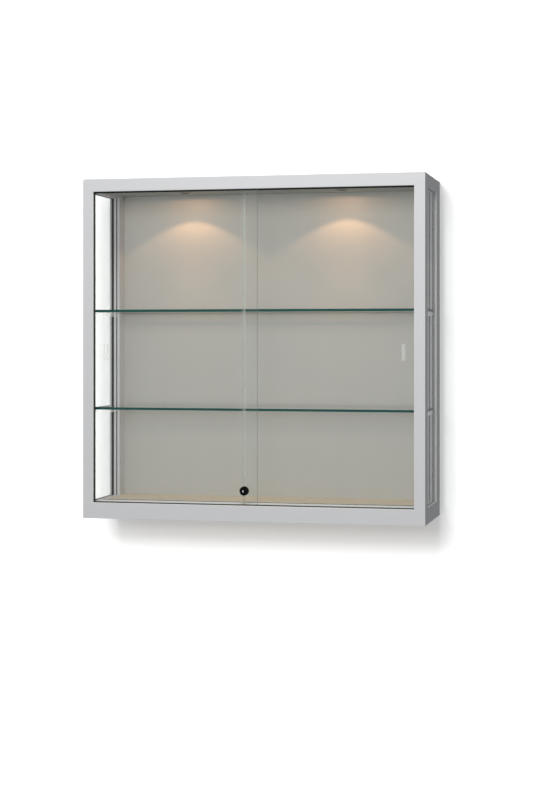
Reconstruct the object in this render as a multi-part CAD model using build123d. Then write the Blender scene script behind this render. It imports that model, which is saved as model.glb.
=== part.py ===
# Wall showcase: an aluminium frame with two sliding glass doors, glass sides, two glass
# shelves, a laminated back and floor, and two spotlights in the ceiling.
# Millimetres. X runs right, Y runs back from the doors to the wall, Z runs up.
# The origin is on the underside, in the middle of the case.
import os
from math import radians, tan

from build123d import *

# Overall size
case_width = 1000.0
case_height = 985.0
case_depth = 320.0
edge_radius = 1.5

# Frame profiles
wall = 2.0
post_width = 31.0
top_rail_height = 37.0
bottom_rail_height = 46.0
front_lip_depth = 21.0
track_bay_depth = 35.0
top_web_height = 16.0
bottom_web_height = 30.0
front_leg_width = 15.0
front_leg_depth = 32.0
rear_post_depth = 70.0
rear_lip_depth = 14.0
rear_web_depth = 17.0
ledge_width = 10.0
ledge_drop = 6.0
opening_chamfer = 0.8

# Sheets and boards
roof_sheet = 2.0
ceiling_sheet = 1.5
ceiling_drop = 26.5
ceiling_flange = 17.5
back_board = 6.0
board_gap = 0.2

# Side glass and its gasket
side_glass_thickness = 4.0
glazing_skin = 3.0
gasket_outer = 2.0
gasket_inner = 4.0
slot_depth = 12.0
glass_end_gap = 1.5

# Sliding doors
door_glass_thickness = 5.0
outer_door_depth = 23.0
door_pitch = 12.0
door_lift = 8.0
door_engagement = 13.0
door_overlap = 42.0
overlap_centre = -6.0
bumper_thickness = 2.8
door_gap = 0.2
pull_width = 12.0
pull_height = 48.0
pull_corner = 1.5
outer_pull_inset = 38.0
inner_pull_inset = 42.0
pull_recess = 1.0
pull_level = 483.0
channel_clearance = 0.8

# Lock
lock_level = 86.0
lock_from_edge = 38.0
rosette_radius = 13.0
rosette_thickness = 6.0
barrel_radius = 10.0
barrel_length = 10.0
plunger_radius = 8.0
plunger_proud = 8.0
stem_radius = 4.0
core_radius = 4.5
running_gap = 0.1

# Shelves
shelf_thickness = 8.0
shelf_front_gap = 41.0
shelf_depth = 228.0
upper_shelf_middle = 603.0
lower_shelf_middle = 316.5
bracket_height = 11.0
bracket_length = 105.0
bracket_width = 10.0
bracket_slot_width = 3.5
bracket_slot_depth = 8.0

# Lamps
lamp_spacing = 474.0
lamp_centre = -10.0
lamp_from_back = 100.0
lamp_bezel_radius = 25.0
lamp_body_radius = 20.8
lamp_glass_radius = 17.0
driver_length = 120.0
driver_width = 40.0
driver_height = 16.0
lead_radius = 2.0

# Fixing to the wall and supply inlet
bar_thickness = 3.0
bar_length = 910.0
bar_hole_radius = 4.25
bar_outer_spacing = 800.0
bar_inner_spacing = 300.0
inlet_radius = 6.0

# Places worked out from the sizes above
x_out = case_width / 2
x_in = x_out - post_width
x_leg = x_out - front_leg_width
z_rail = case_height - top_rail_height
z_web = case_height - top_web_height
z_ledge = case_height - ledge_drop
z_ceiling = case_height - ceiling_drop - ceiling_sheet
bay_end = front_lip_depth + track_bay_depth
leg_end = front_lip_depth + front_leg_depth
rear_post_start = case_depth - rear_post_depth
lip_start = case_depth - rear_lip_depth
rear_web_start = lip_start - rear_web_depth
back_front = lip_start - back_board
slot_out = x_out - glazing_skin
glass_out = slot_out - gasket_outer
glass_in = glass_out - side_glass_thickness
slot_in = glass_in - gasket_inner
inner_door_depth = outer_door_depth + door_pitch
channel_width = door_glass_thickness + 2 * channel_clearance
track_front = front_lip_depth + 0.2
track_back = inner_door_depth + door_glass_thickness + channel_clearance + wall
door_low = bottom_web_height + door_lift
door_high = z_rail + door_engagement
door_end = x_leg - bumper_thickness - door_gap
outer_door_right = overlap_centre + door_overlap / 2
inner_door_left = overlap_centre - door_overlap / 2
lock_x = outer_door_right - lock_from_edge
lamp_depth = back_front - lamp_from_back


def at(depth):
    # Y of a point that lies this far behind the front face.
    return depth - case_depth / 2


def block(x, depth, z):
    # A box from (low, high) pairs: X, depth behind the front face, and Z.
    size = (x[1] - x[0], depth[1] - depth[0], z[1] - z[0])
    middle = ((x[0] + x[1]) / 2, at((depth[0] + depth[1]) / 2), (z[0] + z[1]) / 2)
    return Pos(*middle) * Box(*size)


def upright(radius, x, depth, z):
    # A cylinder along Z.
    return Pos(x, at(depth), (z[0] + z[1]) / 2) * Cylinder(radius, z[1] - z[0])


def along_depth(radius, x, depth, z):
    # A cylinder along Y.
    return Pos(x, at((depth[0] + depth[1]) / 2), z) * Rot(90, 0, 0) * Cylinder(radius, depth[1] - depth[0])


def across(radius, x, depth, z):
    # A cylinder along X.
    return Pos((x[0] + x[1]) / 2, at(depth), z) * Rot(0, 90, 0) * Cylinder(radius, x[1] - x[0])


def rectangle(a, b):
    # The corners of a rectangle between two (low, high) pairs.
    return [(a[0], b[0]), (a[1], b[0]), (a[1], b[1]), (a[0], b[1])]


def face(corners):
    # A flat face in the XY plane.
    return make_face(Polyline(corners, close=True))


def profile_along_x(outline, cells):
    # An extruded bar along X from corners given as (depth, z), open at the ends of its cells.
    bar = extrude(face(outline), case_width)
    for cell in cells:
        bar -= extrude(face(cell), case_width)
    turn = Plane(origin=(-x_out, at(0), 0), x_dir=(0, 1, 0), z_dir=(1, 0, 0))
    return turn * bar


def profile_along_y(outline, cells):
    # An extruded bar along Y from corners given as (x, z).
    bar = extrude(face(outline), case_depth)
    for cell in cells:
        bar -= extrude(face(cell), case_depth)
    turn = Plane(origin=(0, at(case_depth), 0), x_dir=(1, 0, 0), z_dir=(0, -1, 0))
    return turn * bar


def profile_along_z(outline, cells, low, high):
    # An extruded bar along Z from corners given as (x, depth).
    bar = extrude(face(outline), high - low)
    for cell in cells:
        bar -= extrude(face(cell), high - low)
    return Pos(0, at(0), low) * bar


def plan_prism(corners):
    # A prism over the whole height from corners given as (x, depth).
    return Pos(0, at(0), 0) * extrude(face(corners), case_height)


def both_sides(shape):
    # The shape and its mirror image in the case's middle plane.
    return [shape, mirror(shape, about=Plane.YZ)]


def save(shape, name):
    export_step(shape, f"parts/{name}.step")


def save_group(shapes, name):
    save(Compound(children=[Solid(s.solid().wrapped) for s in shapes]), name)


def save_pair(shape, left_name, right_name):
    save(shape, right_name)
    save(mirror(shape, about=Plane.YZ), left_name)


def pan_screw(radius, head_radius, head_height, length):
    # A screw along -Z whose head sits on Z = 0.
    head = Pos(0, 0, head_height / 2) * Cylinder(head_radius, head_height)
    head = fillet(head.edges().group_by(Axis.Z)[-1], head_height * 0.45)
    cross = Box(head_radius * 1.1, head_radius * 0.25, head_height)
    cross += Box(head_radius * 0.25, head_radius * 1.1, head_height)
    head -= Pos(0, 0, head_height) * cross
    return head + Pos(0, 0, -length / 2) * Cylinder(radius, length)


# The outside of the whole case, with its long edges slightly rounded
envelope = fillet(
    (Pos(0, 0, case_height / 2) * Box(case_width, case_depth, case_height)).edges(), edge_radius
)

# Plan outlines that share out the corners between the rails
side_mitre = [
    (x_out, 0),
    (x_out, case_depth),
    (x_in, case_depth - post_width),
    (x_in, bay_end),
    (x_leg, bay_end),
    (x_leg, front_leg_width),
]
front_mitre = [
    (-x_out, 0),
    (x_out, 0),
    (x_leg, front_leg_width),
    (x_leg, bay_end),
    (-x_leg, bay_end),
    (-x_leg, front_leg_width),
]
rear_mitre = [
    (-x_out, case_depth),
    (x_out, case_depth),
    (x_in, case_depth - post_width),
    (-x_in, case_depth - post_width),
]

# Screws that hold the posts between the two rings
frame_screw_radius = 2.5
frame_screw_length = 30.0
frame_head_radius = 4.2
frame_head_height = 3.0
front_port_margin = 8.5
rear_port_from_back = 39.0
front_port = (x_out - front_lip_depth / 2 - front_port_margin, front_lip_depth / 2)
rear_port = ((x_in + wall + x_leg) / 2, case_depth - rear_port_from_back)
ports = [front_port, rear_port]
port_gap = 0.1
port_spare = 5.0


def port_holes(low, high):
    holes = []
    for x, depth in ports:
        holes += both_sides(upright(frame_screw_radius + port_gap, x, depth, (low, high)))
    return holes


# Small screws for the roof and the ceiling
small_screw_radius = 1.7
small_screw_gap = 0.1
roof_screw_length = 8.0
ledge_middle = ledge_width / 2
roof_head_radius = 3.4
roof_head_height = 2.0
ceiling_head_radius = 3.2
ceiling_head_height = 1.6
roof_screw_shares = [-0.44, -0.15, 0.15, 0.44]
ceiling_screw_shares = [0.31, 0.54, 0.77]
ceiling_screw_rise = 9.0
ceiling_screw_level = z_ceiling + ceiling_sheet + ceiling_screw_rise


def roof_screw_places():
    places = []
    for share in roof_screw_shares:
        places.append((share * case_width, bay_end - ledge_middle))
        places.append((share * case_width, rear_web_start + ledge_middle))
    for side in (-1, 1):
        places.append((side * (x_in + ledge_middle), case_depth / 2))
    return places


def ceiling_screw_places():
    return [(side, share * case_depth) for side in (-1, 1) for share in ceiling_screw_shares]


# Top ring
hook_slot_inset = 5.0
hook_slot_width = 5.0
hook_slot_height = 18.0
hook_slot = (lip_start + hook_slot_inset, lip_start + hook_slot_inset + hook_slot_width)
hook_slot_top = z_rail + hook_slot_height

top_front_outline = [
    (0, z_rail + opening_chamfer),
    (opening_chamfer, z_rail),
    (front_lip_depth, z_rail),
    (front_lip_depth, z_web),
    (bay_end, z_web),
    (bay_end, z_ledge),
    (bay_end - ledge_width, z_ledge),
    (bay_end - ledge_width, case_height),
    (0, case_height),
]
top_front_cells = [
    rectangle((wall, front_lip_depth - wall), (z_rail + wall, case_height - wall)),
    rectangle((front_lip_depth, bay_end - ledge_width - wall), (z_web + wall, case_height - wall)),
]
top_rear_outline = [
    (lip_start, z_rail),
    (hook_slot[0], z_rail),
    (hook_slot[0], hook_slot_top),
    (hook_slot[1], hook_slot_top),
    (hook_slot[1], z_rail),
    (case_depth, z_rail),
    (case_depth, case_height),
    (rear_web_start + ledge_width, case_height),
    (rear_web_start + ledge_width, z_ledge),
    (rear_web_start, z_ledge),
    (rear_web_start, z_web),
    (lip_start, z_web),
]
top_rear_cells = [
    rectangle((lip_start + wall, case_depth - wall), (hook_slot_top + wall, case_height - wall)),
    rectangle((rear_web_start + ledge_width + wall, lip_start), (z_web + wall, case_height - wall)),
]
top_side_outline = [
    (x_in, z_rail),
    (slot_in, z_rail),
    (slot_in, z_rail + slot_depth),
    (slot_out, z_rail + slot_depth),
    (slot_out, z_rail),
    (x_out, z_rail),
    (x_out, case_height),
    (x_in + ledge_width, case_height),
    (x_in + ledge_width, z_ledge),
    (x_in, z_ledge),
]
top_side_cells = [
    rectangle((x_in + wall, x_leg), (z_rail + wall, z_ledge - wall)),
    rectangle((slot_in + wall, x_out - wall), (z_rail + slot_depth + wall, case_height - wall)),
]


def roof_screw_holes():
    low = z_ledge - roof_screw_length - 0.5
    return [upright(small_screw_radius + small_screw_gap, x, d, (low, case_height)) for x, d in roof_screw_places()]


def ceiling_screw_holes():
    holes = []
    for side, depth in ceiling_screw_places():
        reach = (x_in - 5.0, x_in + wall + 1.0)
        span = reach if side > 0 else (-reach[1], -reach[0])
        holes.append(across(small_screw_radius + small_screw_gap, span, depth, ceiling_screw_level))
    return holes


top_port_cut = port_holes(z_rail - 1.0, z_rail + wall + 1.0)
bottom_port_cut = port_holes(bottom_rail_height - wall - 1.0, bottom_rail_height + 1.0)
roof_cut = roof_screw_holes()
ceiling_cut = ceiling_screw_holes()


def top_ring():
    cut = top_port_cut + roof_cut + ceiling_cut
    front = profile_along_x(top_front_outline, top_front_cells) & plan_prism(front_mitre)
    rear = profile_along_x(top_rear_outline, top_rear_cells) & plan_prism(rear_mitre)
    side = profile_along_y(top_side_outline, top_side_cells) & plan_prism(side_mitre)
    save((front & envelope) - cut, "top_front_rail")
    save((rear & envelope) - cut, "top_rear_rail")
    save((side & envelope) - cut, "top_right_rail")
    save((mirror(side, about=Plane.YZ) & envelope) - cut, "top_left_rail")


# Bottom ring
bottom_front_outline = [
    (0, 0),
    (bay_end, 0),
    (bay_end, bottom_web_height),
    (front_lip_depth, bottom_web_height),
    (front_lip_depth, bottom_rail_height),
    (opening_chamfer, bottom_rail_height),
    (0, bottom_rail_height - opening_chamfer),
]
bottom_front_cells = [
    rectangle((wall, front_lip_depth - wall), (wall, bottom_rail_height - wall)),
    rectangle((front_lip_depth, bay_end - wall), (wall, bottom_web_height - wall)),
]
bottom_rear_outline = [
    (rear_web_start, 0),
    (case_depth, 0),
    (case_depth, bottom_rail_height),
    (lip_start, bottom_rail_height),
    (lip_start, bottom_web_height),
    (rear_web_start, bottom_web_height),
]
bottom_rear_cells = [
    rectangle((lip_start + wall, case_depth - wall), (wall, bottom_rail_height - wall)),
    rectangle((rear_web_start + wall, lip_start), (wall, bottom_web_height - wall)),
]
bottom_slot = bottom_rail_height - slot_depth
bottom_side_outline = [
    (x_in, 0),
    (x_out, 0),
    (x_out, bottom_rail_height),
    (slot_out, bottom_rail_height),
    (slot_out, bottom_slot),
    (slot_in, bottom_slot),
    (slot_in, bottom_rail_height),
    (x_in, bottom_rail_height),
]
bottom_side_cells = [
    rectangle((x_in + wall, x_leg), (wall, bottom_rail_height - wall)),
    rectangle((slot_in + wall, x_out - wall), (wall, bottom_slot - wall)),
]


def bottom_ring():
    cut = bottom_port_cut
    front = profile_along_x(bottom_front_outline, bottom_front_cells) & plan_prism(front_mitre)
    rear = profile_along_x(bottom_rear_outline, bottom_rear_cells) & plan_prism(rear_mitre)
    side = profile_along_y(bottom_side_outline, bottom_side_cells) & plan_prism(side_mitre)
    save((front & envelope) - cut, "bottom_front_rail")
    save((rear & envelope) - cut, "bottom_rear_rail")
    save((side & envelope) - cut, "bottom_right_rail")
    save((mirror(side, about=Plane.YZ) & envelope) - cut, "bottom_left_rail")


# Posts
port_rib = 4.5
shelf_slot_inset = 7.5
shelf_slot_x = x_in + shelf_slot_inset
rear_web = rear_post_start + slot_depth + wall
rear_rib = 9.0
panel_groove = 7.0

front_post_outline = [
    (x_in + opening_chamfer, 0),
    (x_out, 0),
    (x_out, leg_end),
    (slot_out, leg_end),
    (slot_out, leg_end - slot_depth),
    (slot_in, leg_end - slot_depth),
    (slot_in, leg_end),
    (x_leg, leg_end),
    (x_leg, front_lip_depth),
    (x_in, front_lip_depth),
    (x_in, opening_chamfer),
]
front_post_cells = [
    rectangle((x_in + wall, front_port[0] - port_rib), (wall, front_lip_depth - wall)),
    rectangle((front_port[0] + port_rib, x_out - wall), (wall, front_lip_depth - wall)),
    rectangle((x_leg + wall, x_out - wall), (front_lip_depth, leg_end - slot_depth - wall)),
]
rear_post_outline = [
    (x_in, rear_post_start),
    (shelf_slot_x, rear_post_start),
    (shelf_slot_x, rear_post_start + bracket_slot_depth),
    (shelf_slot_x + bracket_slot_width, rear_post_start + bracket_slot_depth),
    (shelf_slot_x + bracket_slot_width, rear_post_start),
    (slot_in, rear_post_start),
    (slot_in, rear_post_start + slot_depth),
    (slot_out, rear_post_start + slot_depth),
    (slot_out, rear_post_start),
    (x_out, rear_post_start),
    (x_out, case_depth),
    (x_in, case_depth),
    (x_in, lip_start),
    (x_in + panel_groove, lip_start),
    (x_in + panel_groove, back_front),
    (x_in, back_front),
]
rear_post_cells = [
    rectangle((x_leg, x_out - wall), (rear_web, back_front - wall)),
    rectangle((x_in + wall, x_leg - wall), (rear_web, rear_port[1] - rear_rib)),
    rectangle((x_in + wall, x_leg - wall), (rear_port[1] + rear_rib, back_front - wall)),
    rectangle((x_in + panel_groove + wall, x_out - wall), (back_front, case_depth - wall)),
]


def posts():
    low = bottom_rail_height
    high = z_rail
    reach = frame_screw_length + port_spare
    ends = port_holes(low, low + reach) + port_holes(high - reach, high)
    front = profile_along_z(front_post_outline, front_post_cells, low, high)
    rear = profile_along_z(rear_post_outline, rear_post_cells, low, high)
    save_pair((front & envelope) - ends, "front_left_post", "front_right_post")
    save_pair((rear & envelope) - ends, "rear_left_post", "rear_right_post")


# Angle pieces inside the corners of both rings
cleat_leg = 60.0
cleat_thickness = 8.0
cleat_height = 11.5
cleat_gap = 0.5


def corner_cleats(low, high):
    near = wall + cleat_gap
    x = x_out - near
    cleats = []
    for start, end, far in (
        (near, near + cleat_thickness, cleat_leg),
        (case_depth - near - cleat_thickness, case_depth - near, case_depth - cleat_leg),
    ):
        along_front = block((x - cleat_leg, x), (start, end), (low, high))
        along_side = block((x - cleat_thickness, x), (min(start, far), max(end, far)), (low, high))
        cleats += both_sides(along_front + along_side)
    return cleats


def cleats_and_frame_screws():
    low = z_web + cleat_gap
    save_group(corner_cleats(low, low + cleat_height), "top_corner_cleats")
    save_group(corner_cleats(wall + cleat_gap, bottom_web_height - wall - cleat_gap), "bottom_corner_cleats")
    screw = pan_screw(frame_screw_radius, frame_head_radius, frame_head_height, frame_screw_length + wall)
    screws = []
    for x, depth in ports:
        down = Pos(x, at(depth), z_rail + wall) * screw
        up = Pos(x, at(depth), bottom_rail_height - wall) * Rot(180, 0, 0) * screw
        screws += both_sides(down) + both_sides(up)
    save_group(screws, "frame_screws")


# Roof, ceiling, floor and back
sheet_hole = 2.2
lamp_reach = lamp_spacing / 2
inlet_from_side = 120.0
inlet_from_back = 60.0
inlet_place = (inlet_from_side - x_out, case_depth - inlet_from_back)
inlet_hole_radius = 10.0
lamp_hole_gap = 0.2
flange_gap = 1.0
tray_gap = 0.3


def inner_plan(low, high):
    # The plan between the side rails, wider in the bay beside the tracks.
    room = block((board_gap - x_in, x_in - board_gap), (track_back + board_gap, back_front - board_gap), (low, high))
    bay = block((board_gap - x_leg, x_leg - board_gap), (track_back + board_gap, bay_end - board_gap), (low, high))
    return room + bay


def roof_panel():
    x = x_in + ledge_width - board_gap
    front = bay_end - ledge_width + board_gap
    rear = rear_web_start + ledge_width - board_gap
    sheet = block((-x, x), (front, rear), (z_ledge, z_ledge + roof_sheet))
    for place in roof_screw_places():
        sheet -= upright(sheet_hole, *place, (z_ledge - 1, z_ledge + roof_sheet + 1))
    sheet -= upright(inlet_hole_radius, *inlet_place, (z_ledge - 1, z_ledge + roof_sheet + 1))
    save(sheet, "roof_panel")


def ceiling_panel():
    low = z_ceiling
    high = low + ceiling_sheet
    tray = inner_plan(low, high)
    x = x_in - board_gap
    inner = x - ceiling_sheet
    side = block((inner, x), (bay_end + flange_gap, rear_web_start - flange_gap), (low, high + ceiling_flange))
    for flange in both_sides(side):
        tray += flange
    front = track_back + board_gap
    tray += block((-inner, inner), (front, front + ceiling_sheet), (low, z_web - tray_gap))
    for x_lamp in (lamp_centre - lamp_reach, lamp_centre + lamp_reach):
        tray -= upright(lamp_body_radius + lamp_hole_gap, x_lamp, lamp_depth, (low - 1, high + 1))
    save(tray - ceiling_cut, "ceiling_panel")


def floor_and_back():
    save(inner_plan(bottom_web_height, bottom_rail_height), "floor_panel")
    depth = (back_front, lip_start)
    wide = x_in + panel_groove - board_gap
    narrow = x_in - board_gap
    board = block((-wide, wide), depth, (bottom_rail_height + board_gap, z_rail - board_gap))
    board += block((-narrow, narrow), depth, (bottom_web_height, z_web - board_gap))
    save(board, "back_panel")


def sheet_screws():
    roof_screw = pan_screw(small_screw_radius, roof_head_radius, roof_head_height, roof_screw_length + roof_sheet)
    top = z_ledge + roof_sheet
    save_group([Pos(x, at(d), top) * roof_screw for x, d in roof_screw_places()], "roof_screws")
    length = ceiling_sheet + board_gap + wall
    ceiling_screw = pan_screw(small_screw_radius, ceiling_head_radius, ceiling_head_height, length)
    screws = []
    for side, depth in ceiling_screw_places():
        place = Pos(side * (x_in - board_gap - ceiling_sheet), at(depth), ceiling_screw_level)
        screws.append(place * Rot(0, -90 * side, 0) * ceiling_screw)
    save_group(screws, "ceiling_screws")


# Side glass
def side_glass():
    depth = (leg_end - slot_depth + glass_end_gap, rear_post_start + slot_depth - glass_end_gap)
    z = (bottom_slot + glass_end_gap, z_rail + slot_depth - glass_end_gap)
    glass = block((glass_in, glass_out), depth, z)
    save_pair(glass, "left_side_glass", "right_side_glass")
    outer_depth = (leg_end - slot_depth, rear_post_start + slot_depth)
    gasket = block((slot_in, slot_out), outer_depth, (bottom_slot, z_rail + slot_depth))
    gasket -= block((slot_in - 1, slot_out + 1), (leg_end, rear_post_start), (bottom_rail_height, z_rail))
    save_pair(gasket - glass, "left_glazing_gasket", "right_glazing_gasket")


# Door tracks
def track(low, high, web_low, web_high):
    # A twin channel along X: a body from low to high with two grooves outside the web.
    bar = block((board_gap - x_leg, x_leg - board_gap), (track_front, track_back), (low, high))
    for depth in (outer_door_depth, inner_door_depth):
        start = depth - channel_clearance
        bar -= block((-x_out, x_out), (start, start + channel_width), (web_low, web_high))
    return bar


def door_tracks():
    save(track(z_rail + wall, z_web, z_rail, z_web - wall), "upper_door_track")
    floor = bottom_web_height
    save(track(floor, bottom_rail_height - wall, floor + wall, bottom_rail_height), "lower_door_track")


bumper_width = 7.0
bumper_height = 30.0
bumper_round = 1.2
bumper_shares = [0.25, 0.75]


def door_bumpers():
    bumpers = []
    for depth in (outer_door_depth, inner_door_depth):
        for share in bumper_shares:
            pad = Box(bumper_thickness, bumper_width, bumper_height)
            tip = pad.edges().group_by(Axis.X)[0]
            middle_depth = depth + door_glass_thickness / 2
            place = Pos(x_leg - bumper_thickness / 2, at(middle_depth), case_height * share)
            bumpers += both_sides(place * fillet(tip, bumper_round))
    save_group(bumpers, "door_bumpers")


# Doors
glass_back = outer_door_depth + door_glass_thickness
glide_length = 60.0
glide_height = 11.0
glide_wall = 0.6
glide_inset = 70.0
glide_base = 0.1
seal_width = 9.0
seal_wall = 1.2
seal_proud = 5.0
fin_gap = 1.0
seal_low_gap = 3.0
seal_high_gap = 2.0


def pull_cut(x, depth):
    # The ground recess that a finger pushes against, in the front face of a door.
    across_pull = (x - pull_width / 2, x + pull_width / 2)
    up_pull = (pull_level - pull_height / 2, pull_level + pull_height / 2)
    recess = block(across_pull, (depth - pull_recess, depth + pull_recess), up_pull)
    return fillet(recess.edges().filter_by(Axis.Y), pull_corner)


def door(x, depth):
    return block(x, (depth, depth + door_glass_thickness), (door_low, door_high))


def glides(x, depth):
    shoes = []
    for middle in (x[0] + glide_inset, x[1] - glide_inset):
        span = (middle - glide_length / 2, middle + glide_length / 2)
        low = bottom_web_height + wall + glide_base
        outer = (depth - glide_wall, depth + door_glass_thickness + glide_wall)
        shoe = block(span, outer, (low, low + glide_height))
        shoe -= block(span, (depth, depth + door_glass_thickness), (door_low, door_high))
        shoes.append(shoe)
    return shoes


def doors():
    outer_x = (-door_end, outer_door_right)
    outer = door(outer_x, outer_door_depth)
    outer -= pull_cut(-door_end + outer_pull_inset + pull_width / 2, outer_door_depth)
    outer -= along_depth(barrel_radius + barrel_gap, lock_x, (outer_door_depth - 1, glass_back + 1), lock_level)
    save(outer, "outer_door_glass")
    save_group(glides(outer_x, outer_door_depth), "outer_door_glides")

    inner_x = (inner_door_left, door_end)
    inner = door(inner_x, inner_door_depth)
    inner -= pull_cut(door_end - inner_pull_inset - pull_width / 2, inner_door_depth)
    notch_depth = (inner_door_depth - 1, inner_door_depth + door_glass_thickness + 1)
    notch_radius = stem_radius + notch_gap
    notch = block((inner_door_left - 1, lock_x), notch_depth, (lock_level - notch_radius, lock_level + notch_radius))
    notch += along_depth(notch_radius, lock_x, notch_depth, lock_level)
    save(inner - notch, "inner_door_glass")
    save_group(glides(inner_x, inner_door_depth), "inner_door_glides")
    save(seal_strip(), "door_seal_strip")


def seal_strip():
    # A clip over the edge of the inner door with a fin that reaches towards the outer door.
    edge = inner_door_left
    start = inner_door_depth
    end = inner_door_depth + door_glass_thickness
    tail = edge + seal_width - seal_proud
    outline = [
        (tail, start),
        (edge, start),
        (edge, end),
        (tail, end),
        (tail, end + seal_wall),
        (edge - seal_wall, end + seal_wall),
        (edge - seal_proud + seal_wall, start - seal_wall),
        (edge - seal_proud, glass_back + fin_gap),
        (edge - seal_proud + seal_wall, glass_back + fin_gap),
        (edge - seal_wall, start - seal_wall),
        (tail, start - seal_wall),
    ]
    low = lock_level + rosette_radius + seal_low_gap
    return profile_along_z(outline, [], low, z_rail - seal_high_gap)


# Lock
washer_thickness = 1.0
nut_thickness = 3.0
nut_radius = 13.5
barrel_gap = 0.5
notch_gap = 2.5
shoulder_depth = 2.0
plunger_chamfer = 0.8
core_gap = 0.05
core_inset = 0.3
keyway_width = 1.2
keyway_height = 5.6
keyway_depth = 8.7
spring_wire = 0.5
spring_gap = 0.1
spring_turns = 4


def lock():
    x = lock_x
    z = lock_level
    rosette = along_depth(rosette_radius, x, (outer_door_depth - rosette_thickness, outer_door_depth), z)
    rosette = fillet(rosette.edges().group_by(Axis.Y)[0], rosette_thickness * 0.55)
    body = rosette + along_depth(barrel_radius, x, (outer_door_depth, outer_door_depth + barrel_length), z)
    bore = plunger_radius + running_gap
    body -= along_depth(bore, x, (0, outer_door_depth + barrel_length - wall), z)
    body -= along_depth(stem_radius + running_gap, x, (0, outer_door_depth + barrel_length + 1), z)
    save(body, "lock_body")

    washer = along_depth(rosette_radius, x, (glass_back, glass_back + washer_thickness), z)
    save(washer - along_depth(barrel_radius, x, (0, case_depth), z), "lock_washer")
    nut_start = glass_back + washer_thickness
    plane = Plane(origin=(x, at(nut_start), z), x_dir=(1, 0, 0), z_dir=(0, 1, 0))
    nut = extrude(plane * RegularPolygon(radius=nut_radius, side_count=6), nut_thickness)
    save(nut - along_depth(barrel_radius, x, (0, case_depth), z), "lock_nut")

    head_front = outer_door_depth - rosette_thickness - plunger_proud
    shoulder = outer_door_depth - shoulder_depth
    plunger = along_depth(plunger_radius, x, (head_front, shoulder), z)
    plunger = chamfer(plunger.edges().group_by(Axis.Y)[0], plunger_chamfer)
    plunger += along_depth(stem_radius, x, (shoulder, glass_back + 1.0), z)
    core_back = shoulder - 1.0
    plunger -= along_depth(core_radius + core_gap, x, (head_front - 1, core_back + core_gap), z)
    save(plunger, "lock_plunger")

    core_front = head_front + core_inset
    core = along_depth(core_radius, x, (core_front, core_back), z)
    keyway_x = (x - keyway_width / 2, x + keyway_width / 2)
    keyway_z = (z - keyway_height / 2, z + keyway_height / 2)
    core -= block(keyway_x, (core_front - 1, core_front + keyway_depth), keyway_z)
    save(core, "lock_core")

    coil_radius = (plunger_radius + stem_radius) / 2
    spring_start = shoulder + spring_wire + spring_gap
    spring_end = outer_door_depth + barrel_length - wall - spring_wire - spring_gap
    height = spring_end - spring_start
    path = Helix(pitch=height / spring_turns, height=height, radius=coil_radius)
    ring = Plane(origin=path @ 0, z_dir=path % 0) * Circle(spring_wire)
    coil = sweep(ring, path=path)
    place = Plane(origin=(x, at(spring_start), z), x_dir=(1, 0, 0), z_dir=(0, 1, 0))
    save(place * coil, "lock_spring")


# Shelves
shelf_front = front_lip_depth + shelf_front_gap
shelf_side_gap = 3.0
shelf_post_gap = 1.5
shelf_end = glass_in - shelf_side_gap
shelf_chamfer = 0.6
bracket_post_gap = 0.5
tongue_root = 4.0
tongue_side_gap = 0.4
tongue_end_gap = 1.0
clip_gap = 0.5
clip_leg_gap = 0.2
clip_reach = 14.0
clip_width = 7.0
clip_height = 8.0


def shelf_glass(middle):
    z = (middle - shelf_thickness / 2, middle + shelf_thickness / 2)
    rear = shelf_front + shelf_depth
    wide = (-shelf_end, shelf_end)
    narrow = (shelf_post_gap - x_in, x_in - shelf_post_gap)
    glass = block(wide, (shelf_front, rear_post_start - shelf_post_gap), z)
    glass += block(narrow, (shelf_front, rear), z)
    return chamfer(glass.edges().filter_by(Axis.X).group_by(Axis.Y)[0], shelf_chamfer)


def shelf_brackets(middle):
    # The bar under the rear of a shelf end, with a tongue in the slot of the rear post.
    top = middle - shelf_thickness / 2
    z = (top - bracket_height, top)
    end = rear_post_start - bracket_post_gap
    outer = shelf_end
    bar = block((outer - bracket_width, outer), (end - bracket_length, end), z)
    tongue_x = (shelf_slot_x + tongue_side_gap, shelf_slot_x + bracket_slot_width - tongue_side_gap)
    bar += block(tongue_x, (end - tongue_root, rear_post_start + bracket_slot_depth - tongue_end_gap), z)
    return both_sides(bar)


def shelf_clips(middle):
    # The small shoe behind a front post that carries the shelf's front corner.
    top = middle - shelf_thickness / 2
    z = (top - clip_height, top)
    behind_leg = leg_end + clip_leg_gap
    against_leg = block((x_leg - clip_width, x_leg), (track_back + clip_gap, behind_leg), z)
    under_shelf = block((x_leg - clip_width, shelf_end - clip_gap), (behind_leg, shelf_front + clip_reach), z)
    return both_sides(against_leg + under_shelf)


def shelves():
    for name, middle in (("upper", upper_shelf_middle), ("lower", lower_shelf_middle)):
        save(shelf_glass(middle), f"{name}_shelf_glass")
        save_group(shelf_brackets(middle), f"{name}_shelf_brackets")
        save_group(shelf_clips(middle), f"{name}_shelf_clips")


# Lamps, driver and leads
bezel_thickness = 2.0
bezel_chamfer = 0.8
collar_height = 8.0
lens_seat = 2.5
lens_thickness = 2.0
lens_gap = 0.2
boss_radius = 7.0
boss_height = 1.5
fin_count = 7
fin_pitch = 5.5
fin_slot = 2.4
fin_root = 7.0
housing_gap = 3.0
socket_reach = 5.0
socket_root = 2.0
socket_half = 4.0
lead_rise = 11.5
lead_level = z_ceiling + lead_rise


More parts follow.
